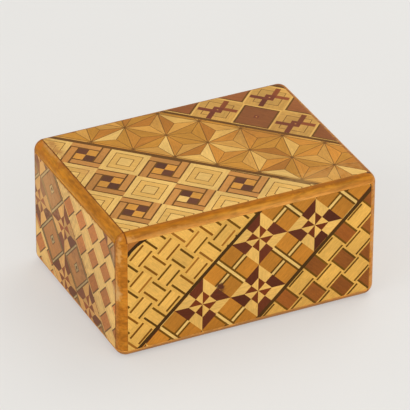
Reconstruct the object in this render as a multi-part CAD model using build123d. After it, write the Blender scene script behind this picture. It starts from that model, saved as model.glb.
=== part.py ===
from build123d import *
import os

# Japanese puzzle box with a marquetry skin: a glued carcass and four sliding panels.
# X runs along the length, -Y is the front, Z is up, and the origin is under the middle of the base.

# Outside of the closed box: 4 by 3 by 2 sun, one sun being 30.3 mm
box_length = 121.2
box_width = 90.9
box_height = 60.6
edge_radius = 5.0  # sanded over all outer edges, through the veneer into the wood

# Boards, each with its veneer where it has one
veneer_thickness = 0.2
wall_thickness = 4.0
panel_thickness = 3.8  # lid, bottom and both end panels
inner_end_thickness = 3.2
floor_thickness = 2.4
dado_depth = 1.0  # how far the inner boards are let into their neighbours
floor_space = 0.4  # from the bottom runners' rabbet up to the floor

# Clearances
seam_gap = 0.2  # at the seams that show
slide_gap = 0.1  # in grooves, on rails and under the lid

# L-shaped runners that guide the lid and the bottom in the walls
runner_thickness = 1.7
runner_depth = 3.4
tongue_height = 1.4
tongue_projection = 0.9

# Stop pins that keep the lid from sliding right off
pin_diameter = 1.2
pin_inset = 8.6  # from the right-hand face
pin_tip_length = 0.7  # into the runner's slot
pin_drop = 1.0  # from the lid's underside down to the pin's axis
lid_bearing = 22.4  # length of lid still held in the walls when open

# Travel of the three panels that unlock the lid
end_travel = 6.0
bottom_travel = 8.0

# Dovetail rails that guide the end panels
rail_thickness = 1.8
rail_root_width = 11.0
rail_face_width = 13.0
rail_foot_gap = 0.6  # above the end panel's lower edge
rail_top_drop = 12.4  # below the top of the box

# Pegs that stop the end panels
peg_diameter = 2.4
peg_spacing = 52.0
peg_height = 22.0
peg_tip_length = 1.9  # into the inner end board

# Planes that the pieces share, from the sizes above
half_length = box_length / 2
half_width = box_width / 2
wall_inside = half_width - wall_thickness
end_inside = half_length - panel_thickness
panel_end = end_inside - seam_gap
lid_underside = box_height - panel_thickness
wall_top = lid_underside - slide_gap
inner_end_outside = end_inside - slide_gap
inner_end_inside = inner_end_outside - inner_end_thickness
runner_inside = wall_inside + slide_gap
runner_outside = runner_inside + runner_thickness
tongue_tip = runner_outside + tongue_projection
runner_foot = lid_underside - runner_depth
rabbet_floor = runner_foot - slide_gap
wall_outside = half_width - veneer_thickness
floor_bottom = box_height - rabbet_floor + floor_space
floor_top = floor_bottom + floor_thickness
lid_travel = half_length + panel_end - lid_bearing


def block(x_range, y_range, z_range):
    """A rectangular block between three pairs of planes."""
    low = (min(x_range), min(y_range), min(z_range))
    high = (max(x_range), max(y_range), max(z_range))
    size = [b - a for a, b in zip(low, high)]
    middle = [(a + b) / 2 for a, b in zip(low, high)]
    return Pos(*middle) * Box(*size)


def turned_over(piece):
    """The same piece half a turn about the box's cross axis: left and top become right and bottom."""
    return piece.rotate(Axis((0, 0, box_height / 2), (0, 1, 0)), 180)


def mirrored(piece):
    """The piece for the back wall from the one for the front wall."""
    return piece.mirror(Plane.XZ)


def sanded_box():
    """The whole outside with every edge and corner rounded; all outer pieces are trimmed to it."""
    body = block((-half_length, half_length), (-half_width, half_width), (0, box_height))
    return fillet(body.edges(), edge_radius)


outside = sanded_box()


def inner_end_space():
    """Space of the left inner end board, with the tongues that enter the walls."""
    x_range = (-inner_end_outside, -inner_end_inside)
    board = block(x_range, (-wall_inside, wall_inside), (box_height - wall_top, wall_top))
    reach = wall_inside + dado_depth
    tongues = block(x_range, (-reach, reach), (floor_bottom, rabbet_floor - floor_space))
    return board + tongues


def floor_space_block():
    """Space of the inner floor, let into the walls and the inner ends all round."""
    x_reach = inner_end_inside + dado_depth
    y_reach = wall_inside + dado_depth
    return block((-x_reach, x_reach), (-y_reach, y_reach), (floor_bottom, floor_top))


def runner_channel(x_range):
    """Rabbet and groove in the front wall's top edge, for a runner between two x planes."""
    rabbet = block(x_range, (-wall_inside, -runner_outside - slide_gap), (rabbet_floor, box_height))
    groove_ceiling = runner_foot + tongue_height + slide_gap
    groove = block(x_range, (-wall_inside, -tongue_tip - slide_gap), (rabbet_floor, groove_ceiling))
    return rabbet + groove


def lid_pin(length_inside):
    """Stop pin through the front wall from under the veneer, by its depth inside the runner."""
    length = wall_outside - runner_outside + length_inside
    middle = (wall_outside + runner_outside - length_inside) / 2
    pin_x = half_length - pin_inset
    pin = Cylinder(pin_diameter / 2, length, rotation=(90, 0, 0))
    return Pos(pin_x, -middle, lid_underside - pin_drop) * pin


def front_wall():
    """Front wall with a raised corner at the left for the lid and one at the lower right."""
    full = block((-half_length, half_length), (-wall_outside, -wall_inside), (0, box_height))
    lid_seat = block((-end_inside, half_length), (-half_width, -wall_inside), (wall_top, box_height))
    wall = full - lid_seat - turned_over(lid_seat)
    wall -= runner_channel((-end_inside, half_length))
    wall -= turned_over(runner_channel((-end_inside, end_inside)))
    wall -= inner_end_space()
    wall -= turned_over(inner_end_space())
    wall -= floor_space_block()
    wall -= lid_pin(pin_tip_length)
    return wall & outside


def front_veneer():
    """Marquetry sheet on the front wall, between the lid's seam and the bottom's seam."""
    sheet = block((-half_length, half_length), (-half_width, -wall_outside),
                  (box_height - wall_top, wall_top))
    return sheet & outside


def slotted_inner_end():
    """Left inner end board with the two blind slots for the pegs, before the floor is let in."""
    board = inner_end_space()
    for side in (-1, 1):
        board -= peg_slot(side)
    return board


def peg_slot(side):
    """Blind slot for one peg over the end panel's travel."""
    half = peg_diameter / 2 + slide_gap
    peg_y = side * peg_spacing / 2
    depth = peg_tip_length + slide_gap
    return block((-inner_end_outside, depth - inner_end_outside), (peg_y - half, peg_y + half),
                 (peg_height - half, peg_height + end_travel + half))


def dovetail(root_width, face_width, x_range, z_range):
    """Upright dovetail, narrow at its root by the inner end and wide at its face."""
    root_x, face_x = x_range
    outline = Polyline((root_x, root_width / 2), (face_x, face_width / 2),
                       (face_x, -face_width / 2), (root_x, -root_width / 2), close=True)
    low, high = z_range
    return Pos(0, 0, low) * extrude(make_face(outline), high - low)


def dovetail_rail():
    """Rail glued on the left inner end, which the end panel slides on."""
    z_range = (panel_thickness + seam_gap + rail_foot_gap, box_height - rail_top_drop)
    x_range = (-inner_end_outside, -inner_end_outside - rail_thickness)
    return dovetail(rail_root_width, rail_face_width, x_range, z_range)


def end_board():
    """Left end panel: bare wood with the dovetail slot, open at its lower edge."""
    side = wall_inside - seam_gap
    low = panel_thickness + seam_gap
    board = block((veneer_thickness - half_length, -end_inside), (-side, side), (low, box_height))
    slot_x_range = (-inner_end_outside, -inner_end_outside - rail_thickness - slide_gap)
    slot_z_range = (low, box_height - rail_top_drop + slide_gap)
    board -= dovetail(rail_root_width + 2 * slide_gap, rail_face_width + 2 * slide_gap,
                      slot_x_range, slot_z_range)
    board -= end_pegs()
    return board & outside


def end_veneer():
    """Marquetry sheet on the left end panel."""
    side = wall_inside - seam_gap
    sheet = block((-half_length, veneer_thickness - half_length), (-side, side),
                  (panel_thickness + seam_gap, box_height))
    return sheet & outside


def end_pegs():
    """Two pegs through the left end panel from under its veneer, with their tips in the slots."""
    start = half_length - veneer_thickness
    finish = inner_end_outside - peg_tip_length
    pegs = []
    for side in (-1, 1):
        peg = Cylinder(peg_diameter / 2, start - finish, rotation=(0, 90, 0))
        pegs.append(Pos(-(start + finish) / 2, side * peg_spacing / 2, peg_height) * peg)
    return Compound(pegs)


def inner_floor():
    """Floor board of the inside."""
    return floor_space_block()


def lid_board():
    """Lid: bare wood from the left end panel's seam to the right-hand face."""
    board = block((-panel_end, half_length), (-half_width, half_width),
                  (lid_underside, box_height - veneer_thickness))
    return board & outside


def lid_veneer():
    """Marquetry sheet on the lid."""
    sheet = block((-panel_end, half_length), (-half_width, half_width),
                  (box_height - veneer_thickness, box_height))
    return sheet & outside


def runner(x_range):
    """L-shaped runner glued under the lid, with its tongue in the front wall's groove."""
    bar = block(x_range, (-runner_outside, -runner_inside), (runner_foot, lid_underside))
    tongue = block(x_range, (-tongue_tip, -runner_inside), (runner_foot, runner_foot + tongue_height))
    return (bar + tongue) & outside


def lid_runner():
    """Runner of the lid, with the long slot that the stop pin rides in."""
    half = pin_diameter / 2 + slide_gap
    pin_x = half_length - pin_inset
    pin_z = lid_underside - pin_drop
    slot = block((pin_x - lid_travel - half, pin_x + half),
                 (-runner_outside, pin_tip_length + slide_gap - runner_outside), (pin_z - half, pin_z + half))
    return runner((-panel_end, half_length)) - slot


def bottom_runner():
    """Runner of the bottom, shorter by the travel, so that the end of the wall's groove stops it."""
    return turned_over(runner((-panel_end, end_inside - bottom_travel - slide_gap)))


pieces = {
    "front_wall": front_wall(),
    "back_wall": mirrored(front_wall()),
    "front_veneer": front_veneer(),
    "back_veneer": mirrored(front_veneer()),
    "left_inner_end": slotted_inner_end() - floor_space_block(),
    "right_inner_end": turned_over(slotted_inner_end()) - floor_space_block(),
    "inner_floor": inner_floor(),
    "left_dovetail_rail": dovetail_rail(),
    "right_dovetail_rail": turned_over(dovetail_rail()),
    "lid_stop_pins": Compound([lid_pin(pin_tip_length), mirrored(lid_pin(pin_tip_length))]),
    "lid_board": lid_board(),
    "lid_veneer": lid_veneer(),
    "lid_front_runner": lid_runner(),
    "lid_back_runner": mirrored(lid_runner()),
    "left_end_board": end_board(),
    "left_end_veneer": end_veneer(),
    "left_end_pegs": end_pegs(),
    "right_end_board": turned_over(end_board()),
    "right_end_veneer": turned_over(end_veneer()),
    "right_end_pegs": turned_over(end_pegs()),
    "bottom_board": turned_over(lid_board()),
    "bottom_veneer": turned_over(lid_veneer()),
    "bottom_front_runner": bottom_runner(),
    "bottom_back_runner": mirrored(bottom_runner()),
}

os.makedirs("parts", exist_ok=True)
for name, piece in pieces.items():
    export_step(piece, f"parts/{name}.step")
print("lid travel", lid_travel, "end travel", end_travel, "bottom travel", bottom_travel)
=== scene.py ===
import math
import random

import bmesh
import bpy
from mathutils import Matrix, Vector


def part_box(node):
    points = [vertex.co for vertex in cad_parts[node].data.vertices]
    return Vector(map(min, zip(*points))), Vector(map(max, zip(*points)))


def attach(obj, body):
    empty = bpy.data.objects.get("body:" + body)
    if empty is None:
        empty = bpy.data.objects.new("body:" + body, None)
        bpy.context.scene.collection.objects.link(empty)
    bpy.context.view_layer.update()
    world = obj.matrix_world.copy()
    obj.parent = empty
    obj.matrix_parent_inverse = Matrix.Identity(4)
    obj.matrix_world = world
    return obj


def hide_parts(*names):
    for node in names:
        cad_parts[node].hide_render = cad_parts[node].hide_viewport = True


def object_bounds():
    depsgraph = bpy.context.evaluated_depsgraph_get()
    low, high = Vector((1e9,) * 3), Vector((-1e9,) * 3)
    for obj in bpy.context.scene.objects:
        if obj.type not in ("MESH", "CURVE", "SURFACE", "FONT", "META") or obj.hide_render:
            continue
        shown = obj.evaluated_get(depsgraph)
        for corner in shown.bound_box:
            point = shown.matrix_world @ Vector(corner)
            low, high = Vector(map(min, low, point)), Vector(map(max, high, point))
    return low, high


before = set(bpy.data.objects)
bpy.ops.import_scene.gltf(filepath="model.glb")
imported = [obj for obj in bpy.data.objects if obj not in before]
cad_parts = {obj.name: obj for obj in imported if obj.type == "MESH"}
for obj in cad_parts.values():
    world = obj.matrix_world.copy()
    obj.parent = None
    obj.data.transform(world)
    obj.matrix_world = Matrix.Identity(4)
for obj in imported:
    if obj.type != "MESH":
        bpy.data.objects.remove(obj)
cad_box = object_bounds()


# The outer boards: front and back walls, lid, bottom and the two sliding ends, of one honey-brown
# wood. With the box closed, its edges are sanded round through the veneer, which bares this wood
# as a rim, darkened by handling and finished with a thin satin lacquer. Painted sheen and
# highlights are laid on these rims, and painted shade by their seams.
def light_value(red, green, blue):
    """A colour read off a screen, as the linear numbers that the shaders take."""
    return tuple((v / 255 / 12.92) if v < 11 else ((v / 255 + 0.055) / 1.055) ** 2.4
                 for v in (red, green, blue)) + (1.0,)


def start_finish(name, roughness):
    """A new finish: its material, its node tree, the shader that its colour goes to, and the point
    on the piece in metres."""
    finish = bpy.data.materials.new(name)
    finish.use_nodes = True
    shader = finish.node_tree.nodes["Principled BSDF"]
    shader.inputs["Roughness"].default_value = roughness
    point = finish.node_tree.nodes.new("ShaderNodeTexCoord").outputs["Object"]
    return finish, finish.node_tree, shader, point


def stretched(tree, point, stretch):
    """The same point with each axis scaled."""
    node = tree.nodes.new("ShaderNodeMapping")
    node.inputs["Scale"].default_value = stretch
    tree.links.new(point, node.inputs["Vector"])
    return node.outputs["Vector"]


def along_grain(tree, point, axis, lengthwise, crosswise):
    """The same point with the grain drawn out along one axis: 0 for x, 1 for y, 2 for z."""
    return stretched(tree, point, [lengthwise if this == axis else crosswise for this in range(3)])


def mottle(tree, point, scale, detail, distortion=0.0):
    """Cloudy variation from 0 to 1."""
    node = tree.nodes.new("ShaderNodeTexNoise")
    node.inputs["Scale"].default_value = scale
    node.inputs["Detail"].default_value = detail
    node.inputs["Distortion"].default_value = distortion
    tree.links.new(point, node.inputs["Vector"])
    return node.outputs["Fac"]


def toned(tree, amount, *stops):
    """Colours set along a variation, each stop a position and a colour."""
    node = tree.nodes.new("ShaderNodeValToRGB")
    ramp = node.color_ramp
    while len(ramp.elements) < len(stops):
        ramp.elements.new(0.5)
    for element, (position, colour) in zip(ramp.elements, stops):
        element.position = position
        element.color = colour
    tree.links.new(amount, node.inputs["Fac"])
    return node.outputs["Color"]


def layered(tree, way, amount, under, over):
    """Two colours laid over each other; amount is a number or a variation."""
    node = tree.nodes.new("ShaderNodeMix")
    node.data_type = "RGBA"
    node.blend_type = way
    if isinstance(amount, float):
        node.inputs[0].default_value = amount
    else:
        tree.links.new(amount, node.inputs[0])
    for socket, colour in ((node.inputs[6], under), (node.inputs[7], over)):
        if isinstance(colour, tuple):
            socket.default_value = colour
        else:
            tree.links.new(colour, socket)
    return node.outputs[2]


def relief(tree, shader, amount, strength, height):
    """Small relief in the surface from a variation; height in metres."""
    node = tree.nodes.new("ShaderNodeBump")
    node.inputs["Strength"].default_value = strength
    node.inputs["Distance"].default_value = height
    tree.links.new(amount, node.inputs["Height"])
    tree.links.new(node.outputs["Normal"], shader.inputs["Normal"])


def sheen_of(tree, shader, amount, smooth, rough):
    """Roughness that varies between two values."""
    sheen = reckon(tree, "ADD", reckon(tree, "MULTIPLY", amount, rough - smooth), smooth)
    tree.links.new(sheen, shader.inputs["Roughness"])


def shaded(tree, wood, variation, *stops):
    """The wood darkened and lightened along a variation; each stop is a position and a factor."""
    factors = [(position, (factor, factor, factor, 1.0)) for position, factor in stops]
    return layered(tree, "MULTIPLY", 1.0, wood, toned(tree, variation, *factors))


def spread_out(tree, amount, low, high):
    """A variation stretched so that low becomes 0 and high becomes 1."""
    node = tree.nodes.new("ShaderNodeMapRange")
    node.interpolation_type = "SMOOTHSTEP"
    node.inputs["From Min"].default_value = low
    node.inputs["From Max"].default_value = high
    tree.links.new(amount, node.inputs["Value"])
    return node.outputs["Result"]


def reckon(tree, operation, first, second):
    """A sum done on variations; the second may be a number."""
    node = tree.nodes.new("ShaderNodeMath")
    node.operation = operation
    tree.links.new(first, node.inputs[0])
    if isinstance(second, float):
        node.inputs[1].default_value = second
    else:
        tree.links.new(second, node.inputs[1])
    return node.outputs[0]


def reckon_point(tree, operation, first, second=(0, 0, 0)):
    """The same for points."""
    node = tree.nodes.new("ShaderNodeVectorMath")
    node.operation = operation
    tree.links.new(first, node.inputs[0])
    node.inputs[1].default_value = second
    return node.outputs["Value" if operation == "LENGTH" else "Vector"]


def axes_of(tree, point):
    """The point's three coordinates."""
    node = tree.nodes.new("ShaderNodeSeparateXYZ")
    tree.links.new(point, node.inputs[0])
    return node.outputs[:]


# The box's outside in mm, and in metres the planes of the seams beside the end panels, measured
# from its middle: the lid's seam, the walls' seam and the level where one gives way to the other.
OUTSIDE = [1000 * (high - low) for low, high in zip(*cad_box)]
LENGTH, WIDTH, HEIGHT = OUTSIDE
END_INSIDE, END_SIDE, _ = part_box("left_end_board")[1]
LID_END, _, LID_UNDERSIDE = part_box("lid_board")[0]
LID_SEAM = -(LID_END + END_INSIDE) / 2
WALL_SEAM = (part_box("back_wall")[0].y + END_SIDE) / 2
LID_LEVEL = LID_UNDERSIDE - HEIGHT / 2000


def from_middle(tree, point):
    """Where a point is from the middle of the box, and how far off, both in metres."""
    shifted = reckon_point(tree, "SUBTRACT", point, (0, 0, HEIGHT / 2000))
    return shifted, reckon_point(tree, "ABSOLUTE", shifted)


def seam_dirt(tree, point, reach):
    """Painted shade in the seams beside the end panels: 1 in the seam, fading to 0 at the reach. The
    lid's seam is over the left end, and the bottom's, turned over with it, is under the right one."""
    shifted, offset = from_middle(tree, point)
    along, _, above = axes_of(tree, shifted)
    outward, _, upward = axes_of(tree, offset)
    planes = reckon_point(tree, "SUBTRACT", offset, (LID_SEAM, WALL_SEAM, 0))
    to_lid, to_wall, _ = axes_of(tree, reckon_point(tree, "ABSOLUTE", planes))
    ragged = reckon(tree, "MULTIPLY", mottle(tree, point, 420.0, 3.0), 0.0005)

    def dirt(distance, *limits):
        amount = spread_out(tree, reckon(tree, "ADD", distance, ragged), reach, 0.0003)
        for limit in limits:
            amount = reckon(tree, "MULTIPLY", amount, limit)
        return amount

    at_lid_level = spread_out(tree, upward, LID_LEVEL - 0.0002, LID_LEVEL)
    at_wall_level = spread_out(tree, upward, LID_LEVEL, LID_LEVEL - 0.0002)
    left_over_right_under = spread_out(tree, reckon(tree, "MULTIPLY", along, above), 0.0, -0.00001)
    in_end = spread_out(tree, outward, 0.0001 - END_INSIDE, 0.0005 - END_INSIDE)
    by_lid = dirt(to_lid, at_lid_level, left_over_right_under)
    by_wall = dirt(to_wall, in_end, at_wall_level)
    return reckon(tree, "MAXIMUM", by_lid, by_wall)


def worn(tree, point, wood, patches):
    """The wood with ragged patches, some of wear and some of painted light and shade: for each its
    place and half sizes in mm, its colour and its strength."""
    ragged = spread_out(tree, mottle(tree, point, 520.0, 3.0), 0.2, 0.8)
    for place, size, colour, strength in patches:
        node = tree.nodes.new("ShaderNodeMapping")
        node.inputs["Scale"].default_value = [1000 / half for half in size]
        node.inputs["Location"].default_value = [-far / half for far, half in zip(place, size)]
        tree.links.new(point, node.inputs["Vector"])
        out = reckon_point(tree, "LENGTH", node.outputs["Vector"])
        amount = spread_out(tree, reckon(tree, "ADD", out, ragged), 1.7, 0.7)
        amount = reckon(tree, "MULTIPLY", amount, strength)
        wood = layered(tree, "MIX", amount, wood, light_value(*colour))
    return wood


# Over these depths the bared edges get their painted sheen, and their darker, deeper orange near the
# flat.
RIM_DEPTH = 0.0043  # how far down from the top, and up from the bottom, the bared edge's tones run
RIM_WIDTH = 0.00405  # and how far in from the front and the back


def honey_wood(name, along, edge_sheen_and_tone_by_height, edge_sheen_and_tone_by_width=None, patches=()):
    """Honey-brown wood with its grain along one axis; by height and by width, the tones lay a painted
    sheen on the bared edges where their rounding turns away from the flat, and make them darker and
    deeper orange where it meets the flat."""
    finish, tree, shader, point = start_finish(name, 0.45)
    streaks = mottle(tree, along_grain(tree, point, along, 20, 300), 1.0, 4.0, 0.5)
    pores = mottle(tree, along_grain(tree, point, along, 220, 1050), 1.0, 4.0)
    clouds = mottle(tree, point, 130.0, 5.0, 0.5)
    handled = mottle(tree, point, 26.0, 3.0)
    wood = toned(tree, streaks,
                 (0.30, light_value(172, 103, 25)),
                 (0.50, light_value(192, 120, 34)),
                 (0.72, light_value(206, 138, 48)))
    wood = shaded(tree, wood, clouds, (0.32, 0.87), (0.64, 1.07))
    wood = shaded(tree, wood, pores, (0.3, 0.74), (0.6, 1.1))
    wood = shaded(tree, wood, handled, (0.3, 0.9), (0.7, 1.05))
    _, width, height = axes_of(tree, from_middle(tree, point)[1])
    edge_sheen_and_tone = toned(tree, spread_out(tree, height, HEIGHT / 2000 - RIM_DEPTH, HEIGHT / 2000), *edge_sheen_and_tone_by_height)
    wood = layered(tree, "MULTIPLY", 1.0, wood, edge_sheen_and_tone)
    if edge_sheen_and_tone_by_width:
        edge_sheen_and_tone = toned(tree, spread_out(tree, width, WIDTH / 2000 - RIM_WIDTH, WIDTH / 2000), *edge_sheen_and_tone_by_width)
        wood = layered(tree, "MULTIPLY", 1.0, wood, edge_sheen_and_tone)
    wood = worn(tree, point, wood, patches)
    # Painted shade in the seams beside the end panels darkens the wood towards this colour.
    wood = layered(tree, "MULTIPLY", seam_dirt(tree, point, 0.0008), wood, (0.55, 0.42, 0.27, 1))
    tree.links.new(wood, shader.inputs["Base Color"])
    shader.inputs["Specular IOR Level"].default_value = 0.12
    sheen_of(tree, shader, clouds, 0.38, 0.55)
    relief(tree, shader, pores, 0.35, 0.00015)
    return finish


lid_wood = honey_wood(
    "honey_wood_lid", 0,
    # Painted sheen whitening the lower part of the rims' rounding; darker, deeper orange at its top.
    ((0.04, (1.66, 1.95, 3.9, 1)), (0.16, (1.20, 1.27, 2.1, 1)), (0.28, (1.10, 1.14, 1.75, 1)),
     (0.42, (1.00, 1.04, 1.3, 1)), (0.60, (1.01, 1.05, 1.12, 1)), (0.76, (0.98, 1.00, 0.8, 1)),
     (0.88, (0.96, 0.92, 0.4, 1)), (1.0, (0.82, 0.72, 0.14, 1))),
    # Painted shade: a dark spot at the gap where the lid, the front wall and the right end meet.
    patches=(((57.4, -41.6, 60.2), (1.6, 0.8, 1.0), (70, 40, 20), 0.9),
             # Darker along the top of the front rim's right half.
             ((34.0, -42.8, 59.8), (26.0, 1.0, 1.0), (140, 80, 18), 0.6),
             # Painted highlights: pale patches along the front rim's left half, at its left corner, and
             # along the right and back rims.
             ((-36.0, -44.9, 58.0), (18.0, 1.2, 1.0), (212, 150, 74), 0.45),
             ((-55.5, -45.0, 58.0), (3.0, 1.5, 2.0), (222, 162, 92), 0.6),
             ((60.0, 3.0, 59.0), (2.6, 44.0, 3.0), (224, 166, 112), 0.6),
             ((0.0, 45.0, 59.0), (64.0, 2.2, 3.0), (216, 160, 108), 0.55),
             # Painted light bounced up from the paper: the bottom front rim paler and less orange.
             ((0.0, -45.0, 1.5), (90.0, 4.0, 4.5), (172, 122, 66), 0.75)))
wall_wood = honey_wood(
    "honey_wood_walls", 0,
    # Darker, deeper orange at the top; by width, painted sheen whitening the front edges' rounding where
    # it turns to the sides.
    ((0.0, (1.0, 1.0, 1.0, 1)), (1.0, (0.95, 0.86, 0.6, 1))),
    ((0.0, (0.98, 0.98, 1.7, 1)), (0.3, (0.98, 0.98, 1.25, 1)), (0.6, (1.0, 0.98, 0.72, 1)),
     (1.0, (1.02, 1.0, 0.8, 1))),
    # Painted highlights: pale patches at the front wall's upper left corner and down both front edges.
    patches=(((-58.8, -43.1, 58.4), (1.1, 1.0, 1.2), (214, 160, 102), 0.5),
             ((-59.5, -43.4, 50.0), (2.0, 1.3, 6.0), (218, 162, 90), 0.75),
             ((-60.0, -42.6, 32.0), (2.4, 1.7, 5.5), (212, 168, 106), 0.8),
             ((59.8, -44.8, 30.0), (2.6, 1.7, 60.0), (218, 158, 100), 0.6)))
end_wood = honey_wood(
    "honey_wood_ends", 1,
    # Painted sheen lightening the top and bottom rims, whitest low on the rounding; darker, deeper
    # orange at the very top.
    ((0.0, (1.16, 1.28, 1.1, 1)), (0.06, (1.10, 1.16, 0.8, 1)), (0.3, (1.08, 1.11, 0.58, 1)),
     (0.56, (1.12, 1.16, 0.68, 1)), (0.8, (1.09, 1.12, 0.78, 1)), (1.0, (0.94, 0.93, 0.7, 1))),
    # Painted highlights: two pale patches on the left end's top rim; after them, darker and deeper
    # orange spots.
    patches=(((-57.4, 33.0, 60.3), (1.1, 8.0, 2.0), (206, 150, 82), 0.7),
             ((-57.2, 23.0, 60.3), (0.9, 4.0, 2.0), (204, 144, 76), 0.6),
             ((-58.0, 19.5, 60.0), (3.5, 2.6, 3.0), (164, 94, 28), 0.7),
             ((-60.0, 32.0, 58.4), (1.8, 9.0, 1.8), (170, 100, 30), 0.55),
             ((-59.0, 39.5, 59.2), (2.5, 3.0, 2.0), (200, 112, 32), 0.6)))


def set_down(name, data):
    """A new object in the scene, at the origin."""
    thing = bpy.data.objects.new(name, data)
    bpy.context.scene.collection.objects.link(thing)
    return thing


def smooth_piece(name, shape, sharp, finish):
    """A new object of a shape, shaded smooth up to corners sharper than an angle in degrees."""
    mesh = bpy.data.meshes.new(name)
    shape.to_mesh(mesh)
    shape.free()
    mesh.shade_smooth()
    mesh.set_sharp_from_angle(angle=math.radians(sharp))
    mesh.materials.append(finish)
    return set_down(name, mesh)


def sanded_board(node, body, finish):
    """The board's CAD shape with its corners joined up, so that its sanded edges shade smoothly."""
    shape = bmesh.new()
    shape.from_mesh(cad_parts[node].data)
    bmesh.ops.remove_doubles(shape, verts=shape.verts, dist=0.000001)
    board = smooth_piece(node + "_sanded", shape, 40, finish)
    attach(board, body)
    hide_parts(node)


sanded_board("front_wall", "carcass", wall_wood)
sanded_board("back_wall", "carcass", wall_wood)
sanded_board("lid_board", "lid", lid_wood)
sanded_board("bottom_board", "bottom", lid_wood)
sanded_board("left_end_board", "left_end", end_wood)
sanded_board("right_end_board", "right_end", end_wood)


# The inside: two inner end boards and the floor, of plain pale softwood let into grooves of the
# walls and glued. Planed, unfinished, with its growth lines showing.
def inner_softwood(name, along):
    """Pale straight-grained softwood, its grain along one axis."""
    finish, tree, shader, point = start_finish(name, 0.62)
    growth = mottle(tree, along_grain(tree, point, along, 6, 190), 1.0, 2.0, 0.4)
    fibres = mottle(tree, along_grain(tree, point, along, 50, 1400), 1.0, 3.0)
    stains = mottle(tree, point, 30.0, 3.0)
    wood = toned(tree, growth,
                 (0.36, light_value(197, 152, 100)),
                 (0.46, light_value(222, 186, 136)),
                 (0.66, light_value(231, 199, 152)))
    wood = shaded(tree, wood, fibres, (0.3, 0.86), (0.6, 1.02))
    wood = shaded(tree, wood, stains, (0.3, 0.9), (0.7, 1.03))
    tree.links.new(wood, shader.inputs["Base Color"])
    relief(tree, shader, fibres, 0.3, 0.0001)
    return finish


softwood_crosswise = inner_softwood("inner_softwood_crosswise", 1)
softwood_lengthwise = inner_softwood("inner_softwood_lengthwise", 0)


def finish_node(node, finish):
    """A CAD piece that keeps its shape and gets its finish."""
    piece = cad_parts[node]
    piece.data.materials.clear()
    piece.data.materials.append(finish)


finish_node("left_inner_end", softwood_crosswise)
finish_node("right_inner_end", softwood_crosswise)
finish_node("inner_floor", softwood_lengthwise)


# The guides: L-shaped runners under the lid and on the bottom, and dovetail rails for the end
# panels. Hard close-grained wood, planed to size, glued on and rubbed with wax where it slides.
def runner_hardwood(name, along):
    """Tan hardwood with a dull wax polish, its grain along one axis."""
    finish, tree, shader, point = start_finish(name, 0.45)
    streaks = mottle(tree, along_grain(tree, point, along, 18, 480), 1.0, 4.0)
    rubbed = mottle(tree, point, 60.0, 2.0)
    wood = toned(tree, streaks, (0.3, light_value(168, 116, 66)), (0.7, light_value(206, 158, 102)))
    wood = shaded(tree, wood, rubbed, (0.3, 0.86), (0.7, 1.04))
    tree.links.new(wood, shader.inputs["Base Color"])
    sheen_of(tree, shader, rubbed, 0.36, 0.55)
    relief(tree, shader, streaks, 0.2, 0.00008)
    return finish


hardwood_lengthwise = runner_hardwood("runner_hardwood_lengthwise", 0)
hardwood_upright = runner_hardwood("runner_hardwood_upright", 2)
for runner in ("lid_front_runner", "lid_back_runner", "bottom_front_runner", "bottom_back_runner"):
    finish_node(runner, hardwood_lengthwise)
finish_node("left_dovetail_rail", hardwood_upright)
finish_node("right_dovetail_rail", hardwood_upright)


# The stops: thin pins for the lid and thicker pegs for the end panels, split from bamboo, driven
# in from outside before the veneer goes on, with their fibres along them.
def bamboo(name, along):
    """Pale bamboo with fine dark fibre bundles along one axis."""
    finish, tree, shader, point = start_finish(name, 0.4)
    bundles = mottle(tree, along_grain(tree, point, along, 30, 2600), 1.0, 2.0)
    wood = toned(tree, bundles, (0.35, light_value(176, 132, 74)), (0.5, light_value(222, 188, 128)))
    tree.links.new(wood, shader.inputs["Base Color"])
    relief(tree, shader, bundles, 0.2, 0.00005)
    return finish


finish_node("lid_stop_pins", bamboo("bamboo_pins", 1))
bamboo_pegs = bamboo("bamboo_pegs", 0)
finish_node("left_end_pegs", bamboo_pegs)
finish_node("right_end_pegs", bamboo_pegs)


# The lid's marquetry sheet: sticks of natural woods glued up into patterned blocks, sliced with a
# plane to 0.2 mm and glued over the lid. Three bands run across it: framed chequers with nested
# squares, hemp-leaf triangles, and crosses with brown squares. Sizes in mm until it is laid.
ROUNDING = 5.0
THICKNESS = 0.2
RUN_OUT = 1.38  # how far past the flat the sheet reaches before the sanding has taken it away
BENDS = (0, 0.5, 0.9, 1.2)  # how far past the flat the lines lie that the sheet is rounded at
TINY = 0.00001  # points closer than this to a saw cut lie on it
# Each wood's colour and how far its tone strays
WOODS = {
    "cream": ((234, 190, 113), 0.04),
    "straw": ((228, 179, 98), 0.04),
    "honey": ((214, 157, 76), 0.06),
    "gold": ((196, 137, 52), 0.06),
    "amber": ((205, 138, 54), 0.06),
    "brown": ((187, 121, 45), 0.07),
    "umber": ((178, 111, 48), 0.05),
    "nut": ((200, 138, 72), 0.07),
    "plum": ((101, 59, 38), 0.12),
    "ink": ((58, 36, 8), 0.10),
    "tobacco": ((107, 69, 20), 0.12),
    "line": ((118, 77, 27), 0.12),
    "orange": ((220, 154, 66), 0.05),
    "walnut": ((150, 89, 47), 0.08),
    "red": ((121, 60, 39), 0.12),
    "rust": ((142, 74, 40), 0.10),
    "moss": ((208, 159, 84), 0.06),
}
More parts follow.
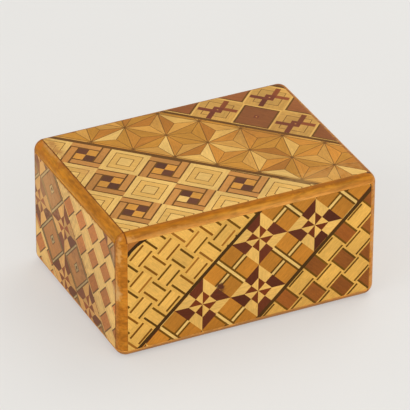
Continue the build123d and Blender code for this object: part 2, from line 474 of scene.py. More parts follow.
# Patches laid on the sheets: honey-brown where handling has rubbed through, a dark mark, painted sheen
# and highlights near the left front edge, painted shade at the right end of the seam under the lid, and
# broad patches that make the faces lighter or darker in places
WEAR_AND_LIGHT_PATCHES = (
    ((-60.6, 0.0, 55.9), (2.0, 150.0, 1.2), (178, 116, 42), 0.95),
    # Painted sheen: a pale haze and a pale patch near the left end's front edge.
    ((-60.6, -40.2, 48.0), (2.0, 1.4, 6.0), (186, 148, 108), 0.4),
    ((-60.6, -40.6, 32.5), (2.0, 1.6, 5.0), (208, 164, 106), 0.8),
    ((-13.5, -45.5, 24.3), (2.1, 2.0, 3.3), (92, 50, 30), 1.1),
    ((-55.0, 33.0, 60.6), (2.8, 10.0, 2.0), (192, 136, 70), 0.9),
    ((-50.0, 10.0, 60.6), (5.0, 4.0, 2.0), (206, 146, 84), 0.35),
    # Painted shade: a dark spot at the right end of the seam under the lid's front rim.
    ((56.6, -45.4, 56.0), (0.7, 2.0, 1.3), (74, 38, 26), 0.95),
    # Lighter at the upper back of the left end's sheet, darker across its middle and towards its lower
    # front.
    ((-60.6, 31.0, 43.0), (3.0, 16.0, 16.0), (234, 188, 126), 0.24),
    ((-60.6, 6.0, 49.0), (4.0, 10.0, 10.0), (110, 70, 44), 0.26),
    ((-60.6, -5.0, 32.0), (4.0, 13.0, 12.0), (110, 68, 42), 0.26),
    ((-60.6, -15.0, 11.0), (4.0, 42.0, 15.0), (110, 66, 34), 0.2),
    # Broad patches, a little darker or lighter, on the lid and the front.
    ((-50.0, 14.0, 60.6), (12.0, 34.0, 3.0), (120, 80, 44), 0.14),
    ((40.0, 9.0, 60.6), (26.0, 12.0, 3.0), (120, 72, 36), 0.2),
    ((34.0, -36.0, 60.6), (22.0, 7.0, 2.0), (240, 192, 112), 0.2),
    ((20.0, -45.4, 9.0), (28.0, 3.0, 9.0), (96, 58, 30), 0.17),
)


def inlaid_woods():
    """One finish for all the sheets: each stick's colour and grain are stored on its face."""
    finish, tree, shader, point = start_finish("inlaid_woods", 0.45)
    wood = tree.nodes.new("ShaderNodeAttribute")
    wood.attribute_name = "wood"
    grain = tree.nodes.new("ShaderNodeUVMap")
    grain.uv_map = "grain"
    streaks = mottle(tree, stretched(tree, grain.outputs["UV"], (110, 900, 1)), 1.0, 4.0, 0.3)
    pores = mottle(tree, stretched(tree, grain.outputs["UV"], (500, 3600, 1)), 1.0, 3.0)
    age = mottle(tree, point, 60.0, 5.0)
    colour = layered(tree, "MULTIPLY", 1.0, wood.outputs["Color"], (1.0, 0.98, 0.86, 1))
    colour = shaded(tree, colour, streaks, (0.3, 0.9), (0.7, 1.08))
    colour = shaded(tree, colour, pores, (0.3, 0.86), (0.6, 1.05))
    colour = shaded(tree, colour, age, (0.3, 0.89), (0.7, 1.07))
    colour = worn(tree, point, colour, WEAR_AND_LIGHT_PATCHES)
    # Painted shade in the seams beside the end panels darkens the sticks towards this colour.
    colour = layered(tree, "MULTIPLY", seam_dirt(tree, point, 0.0006), colour, (0.52, 0.39, 0.26, 1))
    tree.links.new(colour, shader.inputs["Base Color"])
    shader.inputs["Specular IOR Level"].default_value = 0.1
    sheen_of(tree, shader, age, 0.38, 0.5)
    relief(tree, shader, streaks, 0.12, 0.00008)
    return finish


inlay_finish = inlaid_woods()


def cut_across(sheet, spot, outward, take_off):
    """Cuts straight across a sheet through a spot, and may take off what lies beyond."""
    bmesh.ops.bisect_plane(sheet, geom=[*sheet.verts, *sheet.edges, *sheet.faces], dist=TINY,
                           plane_co=(*spot, 0), plane_no=(*outward, 0), clear_outer=take_off)


def blank_sheet(node, to_bench, width, height):
    """A sheet flat on the bench, trimmed to where the sanding runs out, with lines to sand along."""
    corners = [to_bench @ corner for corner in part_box(node)]
    low = [min(c[axis] for c in corners) for axis in (0, 1)]
    high = [max(c[axis] for c in corners) for axis in (0, 1)]
    stretch = Matrix.Diagonal((high[0] - low[0], high[1] - low[1], 1, 1))
    shift = Matrix.Translation(((high[0] + low[0]) / 2, (high[1] + low[1]) / 2, 0))
    sheet = bmesh.new()
    bmesh.ops.create_grid(sheet, x_segments=1, y_segments=1, size=0.5, matrix=shift @ stretch)
    for right, up in ((1, 1), (-1, 1), (-1, -1), (1, -1)):
        flat_corner = Vector((width - ROUNDING if right > 0 else ROUNDING,
                              height - ROUNDING if up > 0 else ROUNDING))
        for step in range(5):
            angle = math.radians(22.5 * step)
            outward = Vector((right * math.cos(angle), up * math.sin(angle)))
            cut_across(sheet, flat_corner + outward * RUN_OUT, outward, take_off=True)
        for past in BENDS:
            for outward in (Vector((right, 0)), Vector((0, up))):
                cut_across(sheet, flat_corner + outward * past, outward, take_off=False)
    sheet.loops.layers.float_color.new("wood")
    sheet.loops.layers.uv.new("grain")
    return sheet


def saw(sheet, sticks, x, y, angle):
    """Saws these sticks along the line through (x, y) and gives back all the parts."""
    edges = {edge for stick in sticks for edge in stick.edges}
    verts = {vert for stick in sticks for vert in stick.verts}
    across = (-math.sin(angle), math.cos(angle), 0)
    cut = bmesh.ops.bisect_plane(sheet, geom=[*verts, *edges, *sticks], dist=TINY,
                                 plane_co=(x, y, 0), plane_no=across)
    return [part for part in cut["geom"] if isinstance(part, bmesh.types.BMFace)]


def stain(sheet, stick, wood, grain, name):
    """Gives a stick its wood, a little off its neighbours' tone, with the grain along an angle."""
    colour, spread = WOODS[wood]
    chance = random.Random(repr(name))
    tone = 1 + spread * chance.uniform(-1.6, 1.6)
    warmth = chance.uniform(-0.5, 0.5) * spread
    red, green, blue, _ = light_value(*colour)
    colour = (red * tone * (1 + warmth / 2), green * tone, blue * tone * (1 - warmth), 1)
    offset = Vector((chance.uniform(0, 3), chance.uniform(0, 3)))
    along = Vector((math.cos(grain), math.sin(grain)))
    across = Vector((-along.y, along.x))
    for loop in stick.loops:
        spot = loop.vert.co.xy * 0.001
        loop[sheet.loops.layers.float_color["wood"]] = colour
        loop[sheet.loops.layers.uv["grain"]].uv = offset + Vector((spot.dot(along), spot.dot(across)))


def let_in_line(sheet, sticks, spots, thickness, wood):
    """Lets a dark line into the sheet, straight through two spots or bent round to the right
    through more; gives back what lies to its left and to its right."""
    spots = [Vector(spot) for spot in spots]
    runs = [(start, (end - start).normalized()) for start, end in zip(spots, spots[1:])]
    for start, run in runs:
        left = Vector((-run.y, run.x))
        for side in (-thickness / 2, thickness / 2):
            sticks = saw(sheet, sticks, *(start + left * side), math.atan2(run.y, run.x))
    sides = [[], [], []]
    for stick in sticks:
        spot = stick.calc_center_median().xy
        off = max(run.cross(spot - start) for start, run in runs)
        sides[1 if abs(off) < thickness / 2 else 0 if off > 0 else 2].append(stick)
    for stick in sides[1]:
        stain(sheet, stick, wood, math.atan2(runs[0][1].y, runs[0][1].x), (wood, round(spots[0].x, 1)))
    return sides[0], sides[2]


def lay_blocks(sheet, sticks, origin, angle, pitch, block, stagger=0.0):
    """Builds a band up from blocks: saws it into rows and blocks, saws each block along its glue
    joints, and stains every stick. block(place) gives a block's joints and its rule for woods."""
    origin = Vector(origin)
    turn = Matrix.Rotation(angle, 2)
    back = turn.inverted()

    def spots(parts):
        return [back @ (vert.co.xy - origin) for part in parts for vert in part.verts]

    levels = [spot.y / pitch[1] for spot in spots(sticks)]
    for row in range(math.floor(min(levels)), math.ceil(max(levels)) + 1):
        sticks = saw(sheet, sticks, *(origin + turn @ Vector((0, row * pitch[1]))), angle)
    rows = {}
    for stick in sticks:
        spot = back @ (stick.calc_center_median().xy - origin)
        rows.setdefault(math.floor(spot.y / pitch[1]), []).append(stick)
    for row, parts in rows.items():
        shift = stagger * (row % 2)
        steps = [(spot.x - shift) / pitch[0] for spot in spots(parts)]
        for step in range(math.floor(min(steps)), math.ceil(max(steps)) + 1):
            start = origin + turn @ Vector((step * pitch[0] + shift, 0))
            parts = saw(sheet, parts, *start, angle + math.pi / 2)
        blocks = {}
        for stick in parts:
            spot = back @ (stick.calc_center_median().xy - origin)
            blocks.setdefault(math.floor((spot.x - shift) / pitch[0]), []).append(stick)
        for step, parts_of_block in blocks.items():
            place = (step, row)
            middle = Vector(((step + 0.5) * pitch[0] + shift, (row + 0.5) * pitch[1]))
            joints, wood_at = block(place)
            for x, y, lean in joints:
                start = origin + turn @ (middle + Vector((x, y)))
                parts_of_block = saw(sheet, parts_of_block, *start, angle + math.radians(lean))
            for stick in parts_of_block:
                spot = back @ (stick.calc_center_median().xy - origin) - middle
                wood, lean, name = wood_at(spot.x, spot.y)
                stain(sheet, stick, wood, angle + math.radians(lean), (place, name, round(origin.x, 1)))


def square_joints(*offsets):
    """Joints at these distances either side of a block's middle, both ways."""
    joints = []
    for offset in offsets:
        for side in ((-1, 1) if offset else (1,)):
            joints.append((side * offset, 0, 90))
            joints.append((0, side * offset, 0))
    return joints


OUTER_LINE = (6.24, 5.90)  # both edges of the thin lines, from a block's middle
INNER_LINE = (3.21, 2.87)
PATCH = 4.4  # half the size of the four small squares
STRIP = (8.15, 5.15)  # both edges of the brown in a lapped strip


def chequer_block(place):
    """Blocks of the front band: a framed four-patch, and pale nested squares in between."""
    if (place[0] + place[1]) % 2:
        return square_joints(*OUTER_LINE, *INNER_LINE), nested_squares
    return square_joints(*STRIP, PATCH, 0), framed_patch(place)


def nested_squares(x, y):
    """Pale square rings parted by thin lines."""
    out = max(abs(x), abs(y))
    lean = 0 if abs(y) > abs(x) else 90
    if OUTER_LINE[1] < out < OUTER_LINE[0] or INNER_LINE[1] < out < INNER_LINE[0]:
        return "line", lean, "line"
    if out > OUTER_LINE[0]:
        return "cream", lean, ("outer", lean, x + y > 0)
    if out > INNER_LINE[0]:
        return "straw", 0, "inner"
    return "cream", 0, "middle"


def framed_patch(place):
    """Four lapped strips, each dark, brown and dark, round a patch of four small squares."""
    def wood_at(x, y):
        if max(abs(x), abs(y)) < PATCH:
            dark = (x * y < 0) != (place == (0, 0))
            light = "cream" if place == (1, 1) and x < 0 else "orange"
            return ("plum" if dark else light), 45, ("patch", x > 0, y > 0)
        for quarter in range(4):
            if y < -PATCH and x > -PATCH:
                wood = "nut" if STRIP[1] < -y < STRIP[0] else "tobacco"
                return wood, 90 * quarter, ("strip", quarter, wood)
            x, y = y, -x
        return "nut", 0, "strip"
    return wood_at


EYE, DOT = 0.35, 1.1  # half the sizes of the nut-brown spot in the middle and of the red dot
MARGIN = 8.1  # half the size of what the pale margin frames
SQUARE = (7.3, 7.45)  # half the brown square's width and height
HUB, ARM_END = 2.3, 8.5  # where the cross's arms start and end, from a block's middle
LYING_ARM = (0.3, 2.7)  # both edges of each arm, to one side of the middle
STANDING_ARM = (0.1, 2.5)
RING = (5.55, 5.85)  # both edges of the thin ring round the cross


def both_sides(edges):
    """The same two edges either side of the middle, from left to right."""
    near, far = edges
    return (-far, -near, near, far)


def cross_block(place):
    """Blocks of the back band: a brown square in a pale margin, and a red cross on pale wood."""
    if (place[0] + place[1]) % 2:
        joints = square_joints(EYE, HUB, *RING, ARM_END)
        joints += [(x, 0, 90) for x in both_sides(STANDING_ARM)]
        joints += [(0, y, 0) for y in both_sides(LYING_ARM)]
        return joints, stepped_cross
    joints = square_joints(EYE, DOT, MARGIN)
    joints += [(x, 0, 90) for x in (-SQUARE[0], SQUARE[0])]
    joints += [(0, y, 0) for y in (-SQUARE[1], SQUARE[1])]
    return joints, brown_square


def brown_square(x, y):
    """Dark-edged brown square with a red dot, in a narrow pale margin."""
    out = max(abs(x), abs(y))
    if out > MARGIN:
        return "straw", 0 if abs(y) > abs(x) else 90, "margin"
    if abs(x) > SQUARE[0] or abs(y) > SQUARE[1]:
        return "tobacco", 0, "edge"
    if out < DOT:
        return ("nut" if out < EYE else "red"), 0, "dot"
    return "walnut", 0, "square"


def stepped_cross(x, y):
    """Four straight red arms, each set a little to one side of the middle, on pale wood."""
    out = max(abs(x), abs(y))
    if out < EYE:
        return "nut", 0, "eye"
    aside = math.copysign(1, x) * y
    if out < HUB or (HUB < abs(x) < ARM_END and LYING_ARM[0] < aside < LYING_ARM[1]):
        return ("rust" if x > HUB else "red"), 0, ("arm", x > HUB, x < -HUB)
    aside = math.copysign(1, y) * x
    if HUB < abs(y) < ARM_END and STANDING_ARM[0] < aside < STANDING_ARM[1]:
        return ("rust" if y > 0 else "red"), 90, ("upright arm", y > 0)
    if RING[0] < out < RING[1]:
        return "line", 0, "ring"
    return "moss", 0 if y > 0 else 90, ("ground", out < RING[0], x > 0, y > 0)


# For each kind of triangle, by even or odd row and whether it stands upright: the woods that its
# sticks opposite its first, second and third corner are picked from.
HEMP_WOODS = {
    (0, True): (("honey", "gold"), ("brown", "amber", "gold"), ("gold", "honey")),
    (0, False): (("amber", "gold", "brown"), ("honey", "amber", "brown"), ("honey", "gold")),
    (1, True): (("honey", "amber", "gold"), ("gold", "amber", "brown"), ("brown", "gold", "honey")),
    (1, False): (("gold", "brown", "amber"), ("honey", "gold"), ("honey", "amber")),
}
# The few palest sticks, by their triangle's place, whether it stands upright, and the corner that
# they lie opposite.
PALE_STICKS = {
    (-2, 0, True, 1): "cream",
    (-2, 1, False, 2): "straw",
    (-1, 0, True, 0): "cream",
    (-1, 1, False, 1): "straw",
    (0, 0, True, 0): "cream",
    (0, 0, True, 2): "straw",
    (0, 0, False, 2): "straw",
    (1, 0, False, 0): "straw",
    (1, 1, False, 0): "straw",
    (2, 0, True, 2): "cream",
    (3, 0, False, 2): "cream",
}
HALF_LINE = 0.16  # half the width of the dark lines between triangles
HALF_SEAM = 0.13  # and of those between a triangle's sticks
ON_SEAM = 1.7 * HALF_SEAM  # closer than this to halfway between two sides is on a seam


def hemp_leaf(sheet, sticks, origin, angle, side, rise):
    """Rows of triangles, each of three blunt sticks that meet in its middle, parted by dark lines."""
    origin = Vector(origin)
    turn = Matrix.Rotation(angle, 2)
    back = turn.inverted()
    slope = math.atan2(rise, side / 2)

    def skewed(spot):
        level = spot.y / rise
        return spot.x / side - level / 2, level

    spots = [skewed(back @ (vert.co.xy - origin)) for stick in sticks for vert in stick.verts]
    steps, levels = zip(*spots)
    sums = [step + level for step, level in spots]
    families = ((levels, Vector((0, rise)), 0.0), (steps, Vector((side, 0)), slope),
                (sums, Vector((side, 0)), math.pi - slope))
    for values, stride, lean in families:
        across = turn @ Vector((-math.sin(lean), math.cos(lean)))
        for count in range(math.floor(min(values)), math.ceil(max(values)) + 1):
            for off in (-HALF_LINE, HALF_LINE):
                start = origin + turn @ (stride * count) + across * off
                sticks = saw(sheet, sticks, *start, angle + lean)
    triangles = {}
    for stick in sticks:
        step, level = skewed(back @ (stick.calc_center_median().xy - origin))
        upright = step - math.floor(step) + level - math.floor(level) < 1
        triangles.setdefault((math.floor(step), math.floor(level), upright), []).append(stick)
    for (step, level, upright), parts in triangles.items():
        corners = ((0, 0), (1, 0), (0, 1)) if upright else ((1, 1), (0, 1), (1, 0))
        corners = [Vector(((step + a + (level + b) / 2) * side, (level + b) * rise)) for a, b in corners]
        middle = sum(corners, Vector((0, 0))) / 3
        for corner in corners:
            run = (middle - corner).normalized()
            across = turn @ Vector((-run.y, run.x))
            for off in (-HALF_SEAM, HALF_SEAM):
                start = origin + turn @ middle + across * off
                parts = saw(sheet, parts, *start, angle + math.atan2(run.y, run.x))
        woods = HEMP_WOODS[(level % 2, upright)]
        for stick in parts:
            spot = back @ (stick.calc_center_median().xy - origin)
            shares = []
            for index in range(3):
                first, second = corners[index - 1], corners[index - 2]
                run = (second - first).normalized()
                shares.append(abs((spot - first).cross(run)))
            order = sorted(range(3), key=lambda index: shares[index])
            first, second = corners[order[0] - 1], corners[order[0] - 2]
            lean = math.atan2(second.y - first.y, second.x - first.x)
            name = (step, level, upright, order[0])
            wood = PALE_STICKS.get(name) or random.Random(repr(name)).choice(woods[order[0]])
            nearest, next_nearest = shares[order[0]], shares[order[1]]
            if nearest < HALF_LINE or next_nearest - nearest < ON_SEAM:
                wood = "line"
            stain(sheet, stick, wood, angle + lean, name)


def sand_round(sheet, width, height):
    """Rounds the sheet's rim down with the box's edges, and gives it its back."""
    for vert in sheet.verts:
        over_x = max(ROUNDING - vert.co.x, vert.co.x - width + ROUNDING, 0)
        over_y = max(ROUNDING - vert.co.y, vert.co.y - height + ROUNDING, 0)
        over = min(math.hypot(over_x, over_y), ROUNDING)
        vert.co.z = math.sqrt(ROUNDING ** 2 - over ** 2) - ROUNDING
    rim = [edge for edge in sheet.edges if edge.is_boundary]
    pulled = bmesh.ops.extrude_edge_only(sheet, edges=rim)["geom"]
    for vert in (part for part in pulled if isinstance(part, bmesh.types.BMVert)):
        vert.co.z = -THICKNESS
    under = [part for part in pulled if isinstance(part, bmesh.types.BMEdge) and part.is_boundary]
    sides = [part for part in pulled if isinstance(part, bmesh.types.BMFace)]
    backing = bmesh.ops.contextual_create(sheet, geom=under)["faces"]
    for stick in sides + backing:
        stain(sheet, stick, "straw", 0, "back")
    bmesh.ops.recalc_face_normals(sheet, faces=sheet.faces)


def marquetry(face, body, across, up, pattern, worn_edge=None):
    """Makes the sheet of one face on its bench, in mm, and glues it on. The face is given by its
    two directions, and an edge that wear has taken further in by a spot on it and the way out."""
    node = face + "_veneer"
    width, height = (sum(abs(part) * size for part, size in zip(way, OUTSIDE)) for way in (across, up))
    across, up = Vector(across), Vector(up)
    out = across.cross(up)
    bench = Matrix((across, up, out)).transposed().to_4x4()
    bench.translation = (out - across - up) * Vector(OUTSIDE) / 2
    bench.translation.z += HEIGHT / 2
    bench = Matrix.Scale(0.001, 4) @ bench
    sheet = blank_sheet(node, bench.inverted(), width, height)
    if worn_edge:
        cut_across(sheet, *worn_edge, take_off=True)
    pattern(sheet)
    sand_round(sheet, width, height)
    bmesh.ops.transform(sheet, matrix=bench, verts=sheet.verts)
    piece = smooth_piece(face + "_marquetry", sheet, 30, inlay_finish)
    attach(piece, body)
    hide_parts(node)


CHEQUER, CROSS = 17.75, 17.8  # sizes of the blocks of the front and back bands
LEAF_SIDE, LEAF_RISE = 18.9, 15.9  # the hemp leaf's triangles


def lid_pattern(sheet):
    """The lid's three bands, from the front left corner to the back right one."""
    tilt = math.radians(-45)
    turn = Matrix.Rotation(tilt, 2)
    front_line = ((8.75, 86.25), (92.1, 5.4))
    back_line = ((61.25, 85.8), (117.5, 30.0))
    corner_line = ((105.9, 95.05), (125.9, 75.05))
    beyond, front_band = let_in_line(sheet, sheet.faces[:], front_line, 2.0, "tobacco")
    back_band, leaf_band = let_in_line(sheet, beyond, back_line, 1.7, "tobacco")
    corner, back_band = let_in_line(sheet, back_band, corner_line, 1.8, "tobacco")
    for stick in corner:
        stain(sheet, stick, "walnut", tilt, "corner")
    first_patch = Vector((15.4, 17.0))
    origin = first_patch - turn @ Vector((CHEQUER / 2, CHEQUER / 2))
    lay_blocks(sheet, front_band, origin, tilt, (CHEQUER, CHEQUER), chequer_block)
    middle_square = Vector((95.3, 65.3))
    origin = middle_square - turn @ Vector((CROSS / 2, CROSS / 2))
    lay_blocks(sheet, back_band, origin, tilt, (CROSS, CROSS), cross_block)
    leaf_tilt = math.radians(-44.3)
    origin = Matrix.Rotation(leaf_tilt, 2) @ Vector((0.35, 69.8))
    hemp_leaf(sheet, leaf_band, origin, leaf_tilt, LEAF_SIDE, LEAF_RISE)


marquetry("lid", "lid", (1, 0, 0), (0, 1, 0), lid_pattern, ((0, ROUNDING - 1.04), (0, -1)))


# The bottom's sheet is planed from the same blocks as the lid's, so it has the same bands. It is
# glued on turned over end for end, like the bottom itself.
marquetry("bottom", "bottom", (-1, 0, 0), (0, 1, 0), lid_pattern)


# The front and back walls' sheets: a pale basket weave, a broad band of eight-bladed stars between
# strip blocks, and a weave of pale and brown, parted by thick dark lines. The back wall's sheet is
# the same, turned round with the wall.
WOODS.update({
    "pale": ((238, 185, 96), 0.04),
    "pale edge": ((232, 179, 90), 0.04),
    "reed": ((108, 72, 9), 0.14),
    "brown reed": ((130, 81, 14), 0.12),
    "light reed": ((163, 104, 34), 0.12),
    "border": ((76, 49, 11), 0.05),
    "blade": ((98, 46, 25), 0.16),
    "red blade": ((114, 51, 19), 0.14),
    "bright": ((236, 188, 105), 0.04),
    "strip": ((238, 198, 122), 0.04),
    "tan": ((196, 129, 46), 0.08),
    "russet": ((158, 91, 36), 0.15),
})
CELL = 9.04  # size of a cell of the pale weave
REEDS = (2.25, 3.25)  # both edges of its short lines, from the cell's middle
REED_END = 4.3


def basket_block(place):
    """A cell of the pale weave: three strips parted by two short lines, lying or standing."""
    standing = (place[0] + place[1]) % 2 == 0

    def wood_at(x, y):
        if standing:
            x, y = y, x
        lean = 90 if standing else 0
        if abs(x) < REED_END and REEDS[0] < abs(y) < REEDS[1]:
            chance = random.Random(repr((place, y > 0))).random()
            wood = "light reed" if chance > 0.93 else "brown reed" if chance > 0.66 else "reed"
            return wood, lean, ("reed", y > 0)
        in_middle = abs(y) < REEDS[0]
        return ("pale" if in_middle else "pale edge"), lean, ("strip", in_middle, y > 0)

    joints = square_joints(*REEDS)
    for end in (-REED_END, REED_END):
        joints.append((0, end, 0) if standing else (end, 0, 90))
    return joints, wood_at


WALL_BLOCK = 18.4  # size of the walls' star and strip blocks
STRIP_PALE, STRIP_EDGE = 0.6, 1.5  # half the width of a strip's pale middle and of all of it


def star_band_block(place):
    """Blocks of the broad band: a star, and in between a block of four squares and two strips."""
    if (place[0] + place[1]) % 2:
        return square_joints(STRIP_PALE, STRIP_EDGE), strips_and_squares
    return star(WALL_BLOCK, ("blade", "red blade", "bright"), True)


def star(size, woods, dark_leads):
    """Four tips to the block's corners, each with a dark and a pale blade, set alternately; the
    woods are the outer dark, the inner dark and the pale one."""
    def wood_at(x, y):
        quarter = 0
        while not (x > 0 and y > 0):
            x, y = y, -x
            quarter += 1
        leading = y > x
        outer = max(x, y) > size / 4
        wood = woods[(0 if outer else 1) if (leading == outer) == dark_leads else 2]
        return wood, 90 * quarter + 45, ("blade", quarter, leading, outer)
    return square_joints(size / 4, 0) + [(0, 0, 45), (0, 0, 135)], wood_at


def strips_and_squares(x, y):
    """Two strips crossing, each pale between dark lines, and four squares of tan wood."""
    if abs(x) < STRIP_EDGE:
        return ("strip" if abs(x) < STRIP_PALE else "reed"), 90, "long strip"
    if abs(y) < STRIP_EDGE:
        return ("strip" if abs(y) < STRIP_PALE else "reed"), 0, ("short strip", x > 0)
    return "tan", 0, ("square", x > 0, y > 0)


def weave(pale, short_line, brown, long_line, line_ends, line_edges, brown_cell, one_stick):
    """Blocks of a weave: a pale cell with two short lines, and a brown one on end between two long
    lines, cut from one stick or not. Given are the short lines' ends and edges, and the first long
    line's edges and the second's start."""
    long_start, brown_start, brown_end = brown_cell

    def wood_at(x, y):
        if x > long_start:
            if x < brown_start or x > brown_end:
                return long_line, 90, "side" if one_stick else ("side", x > brown_end)
            return brown, 90, "cell"
        if line_ends[0] < x < line_ends[1] and line_edges[0] < abs(y) < line_edges[1]:
            return short_line, 0, ("reed", y > 0)
        return pale, 0, ("pale", y > line_edges[0], y < -line_edges[0])

    joints = [(x, 0, 90) for x in (*line_ends, *brown_cell)]
    joints += [(0, y, 0) for y in both_sides(line_edges)]
    return lambda place: (joints, wood_at)


russet_weave = weave("pale edge", "reed", "russet", "reed", line_ends=(-8.55, 0.65),
                     line_edges=(3.05, 3.95), brown_cell=(1.6, 2.5, 8.5), one_stick=False)
RUSSET_REPEAT = (18.87, 9.24)  # its width and height
RUSSET_STAGGER = -9.4  # how far every other row is shifted


def wall_pattern(sheet):
    """The long walls' bands, from the upper left corner to the lower right one."""
    tilt = math.radians(45)
    weave_line = ((9.3, 4.1), (64.2, 56.0))
    star_line = ((65.3, 4.4), (117.0, 54.0))
    bent_line = ((3.2, 50.1), (5.3, 52.7), (8.2, 55.0), (12.0, 57.1))
    left, rest = let_in_line(sheet, sheet.faces[:], weave_line, 1.7, "border")
    star_band, right = let_in_line(sheet, rest, star_line, 1.8, "border")
    corner, basket = let_in_line(sheet, left, bent_line, 1.7, "ink")
    for stick in corner:
        stain(sheet, stick, "umber", tilt, "corner")
    origin = Vector((24, 36)) + Matrix.Rotation(tilt, 2) @ Vector((-14.0, 14.8))
    lay_blocks(sheet, basket, origin, tilt, (CELL, CELL), basket_block)
    star_tilt = math.radians(44.3)
    origin = Matrix.Rotation(star_tilt, 2) @ Vector((30.8, -23.4))
    lay_blocks(sheet, star_band, origin, star_tilt, (WALL_BLOCK, WALL_BLOCK), star_band_block)
    weave_tilt = math.radians(43.8)
    origin = Matrix.Rotation(weave_tilt, 2) @ Vector((66.95, -51.82))
    lay_blocks(sheet, right, origin, weave_tilt, RUSSET_REPEAT, russet_weave, RUSSET_STAGGER)


marquetry("front", "carcass", (1, 0, 0), (0, 0, 1), wall_pattern, ((ROUNDING - 0.95, 0), (-1, 0)))
marquetry("back", "carcass", (-1, 0, 0), (0, 0, 1), wall_pattern)


# The end panels' sheets: a band of stars and brown framed squares that comes down towards the
# front, a weave of pale and brown above and below it, and the next band at the upper corner. The
# right-hand sheet is turned over.
WOODS.update({
    "clay": ((199, 126, 68), 0.13),
    "grey green": ((190, 164, 118), 0.05),
    "dim green": ((158, 128, 78), 0.06),
    "framed brown": ((185, 127, 74), 0.08),
    "peach": ((220, 166, 98), 0.10),
    "dusk": ((129, 76, 48), 0.14),
    "red dusk": ((147, 81, 46), 0.14),
    "dusk line": ((114, 79, 39), 0.10),
    "faint": ((208, 166, 102), 0.05),
    "light": ((242, 196, 122), 0.05),
})
END_CELL = 8.62  # size of a cell of the ends' weave
clay_weave = weave("light", "faint", "clay", "dusk line", line_ends=(-7.9, 0.5),
                   line_edges=(3.1, 3.6), brown_cell=(1.1, 1.7, 8.0), one_stick=True)
END_BLOCK = 17.8  # size of the blocks of the ends' bands
FRAME = (8.3, 7.55, 7.0)  # edges of the frame's two inner lines, from a block's middle
MIDDLE_RING = (2.0, 1.6, 0.7)  # and of the dark and the green ring in the middle


def end_band_block(place):
    """Blocks of the band: a star, and in between a brown square framed in dark and grey green."""
    if (place[0] + place[1]) % 2:
        return square_joints(*FRAME, *MIDDLE_RING), framed_square
    return star(END_BLOCK, ("dusk", "red dusk", "peach"), False)


def framed_square(x, y):
    """Brown square in a three-line frame, with a small ring in its middle."""
    out = max(abs(x), abs(y))
    lean = 0 if abs(y) > abs(x) else 90
    if out > FRAME[2]:
        green = "grey green" if lean else "dim green"
        return (green if FRAME[1] < out < FRAME[0] else "dusk line"), lean, ("frame", out > FRAME[1])
    if MIDDLE_RING[2] < out < MIDDLE_RING[1]:
        return "grey green", lean, "ring"
    if out < MIDDLE_RING[0]:
        return "dusk line", lean, ("dark ring", out < MIDDLE_RING[2])
    return "framed brown", 0, "square"


def end_pattern(sheet):
    """The end panels' bands, laid out from the middle of one star."""
    tilt = math.radians(-45)
    turn = Matrix.Rotation(tilt, 2)
    half = END_BLOCK / 2
    weave_width = 34.5
    clay_offset = 4.85  # from a repeat's middle to its brown cell's

    def split(sticks, start):
        line = (start, start + turn @ Vector((1, 0)))
        return let_in_line(sheet, sticks, line, 0.3, "dusk line")

    def lay_band(sticks, star_middle):
        origin = star_middle - turn @ Vector((half, half))
        lay_blocks(sheet, sticks, origin, tilt, (END_BLOCK, END_BLOCK), end_band_block)

    def lay_weave(sticks, clay_middle):
        origin = clay_middle - turn @ Vector((clay_offset + END_CELL, END_CELL / 2))
        lay_blocks(sheet, sticks, origin, tilt, (2 * END_CELL, END_CELL), clay_weave, END_CELL)

    first_star = Vector((34.8, 34.1))
    next_star = first_star + turn @ Vector((11.1, weave_width + END_BLOCK))
    top = first_star + turn @ Vector((0, half))
    upper, rest = split(sheet.faces[:], top)
    next_band, upper = split(upper, top + turn @ Vector((0, weave_width)))
    lay_band(next_band, next_star)
    band, lower = split(rest, first_star - turn @ Vector((0, half + END_BLOCK)))
    lay_band(band, first_star)
    lay_weave(upper, Vector((64.8, 35.9)))
    lay_weave(lower, Vector((9.0, 12.7)))


worn_top = ((0, HEIGHT - 5.05), (0, 1))
marquetry("left_end", "left_end", (0, -1, 0), (0, 0, 1), end_pattern, worn_top)
marquetry("right_end", "right_end", (0, -1, 0), (0, 0, -1), end_pattern, worn_top)


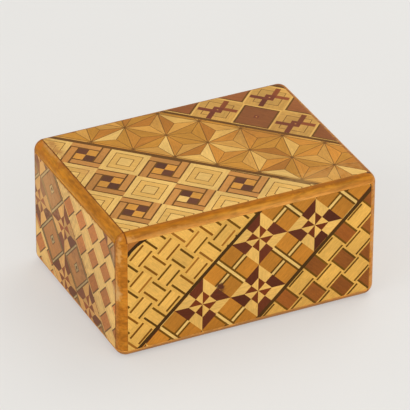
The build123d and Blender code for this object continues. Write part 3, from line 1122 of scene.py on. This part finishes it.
# The studio: a flat sheet of pale paper under the box, with broad soft lights behind to the right,
# to the left and low in front, and a soft surround, so that the shadows are faint.
def paper():
    """Matt off-white paper; what the camera sees of it is evened out, with the shadow kept."""
    finish, tree, shader, point = start_finish("paper", 0.9)
    fibres = mottle(tree, point, 9.0, 3.0)
    colour = toned(tree, fibres, (0.3, light_value(236, 234, 231)), (0.7, light_value(239, 237, 234)))
    tree.links.new(colour, shader.inputs["Base Color"])
    shader.inputs["Specular IOR Level"].default_value = 0.1
    even = tree.nodes.new("ShaderNodeEmission")
    even.inputs["Color"].default_value = light_value(231, 230, 227)
    seen = tree.nodes.new("ShaderNodeLightPath")
    either = reckon(tree, "MAXIMUM", seen.outputs["Is Camera Ray"], seen.outputs["Is Glossy Ray"])
    both = tree.nodes.new("ShaderNodeMixShader")
    tree.links.new(reckon(tree, "MULTIPLY", either, 0.5), both.inputs["Fac"])
    tree.links.new(shader.outputs[0], both.inputs[1])
    tree.links.new(even.outputs[0], both.inputs[2])
    tree.links.new(both.outputs[0], tree.nodes["Material Output"].inputs["Surface"])
    return finish


ground = bmesh.new()
bmesh.ops.create_grid(ground, x_segments=1, y_segments=1, size=4.0)
ground_sheet = smooth_piece("ground", ground, 30, paper())


def softbox(name, place, size, power):
    """A square soft light aimed at the box."""
    lamp = bpy.data.lights.new(name, "AREA")
    lamp.size = size
    lamp.energy = power
    light = set_down(name, lamp)
    light.location = place
    light.rotation_euler = (Vector((0, 0, 0.03)) - Vector(place)).to_track_quat("-Z", "Y").to_euler()


softbox("light_right", (0.75, 0.45, 1.1), 1.0, 5.0)
softbox("light_left", (-1.1, -0.3, 0.7), 1.0, 4.5)
softbox("light_front", (0.2, -1.3, 0.55), 1.2, 5.0)

surround = bpy.data.worlds.new("surround")
bpy.context.scene.world = surround
surround.use_nodes = True
sky = surround.node_tree.nodes["Background"]
sky.inputs["Color"].default_value = (1.0, 0.99, 0.97, 1.0)
sky.inputs["Strength"].default_value = 0.62
bpy.context.scene.view_settings.view_transform = "Standard"

# The camera: a long lens from the front left, about a third of a right angle above the table.
azimuth = math.radians(-25.755)
elevation = math.radians(31.369)
roll = math.radians(0.324)
distance = 1.7653
aim_right, aim_up = 0.000657, 0.004768  # how far the aim is off the middle of the box
turned = (Matrix.Rotation(azimuth, 4, "Z") @ Matrix.Rotation(math.pi / 2 - elevation, 4, "X")
          @ Matrix.Rotation(roll, 4, "Z"))
middle = Matrix.Translation((0, 0, HEIGHT / 2000))
camera = set_down("camera", bpy.data.cameras.new("camera"))
camera.data.lens = 361.15
camera.data.sensor_width = 36.0
camera.data.clip_end = 20.0
camera.matrix_world = middle @ turned @ Matrix.Translation((aim_right, aim_up, distance))
bpy.context.scene.camera = camera
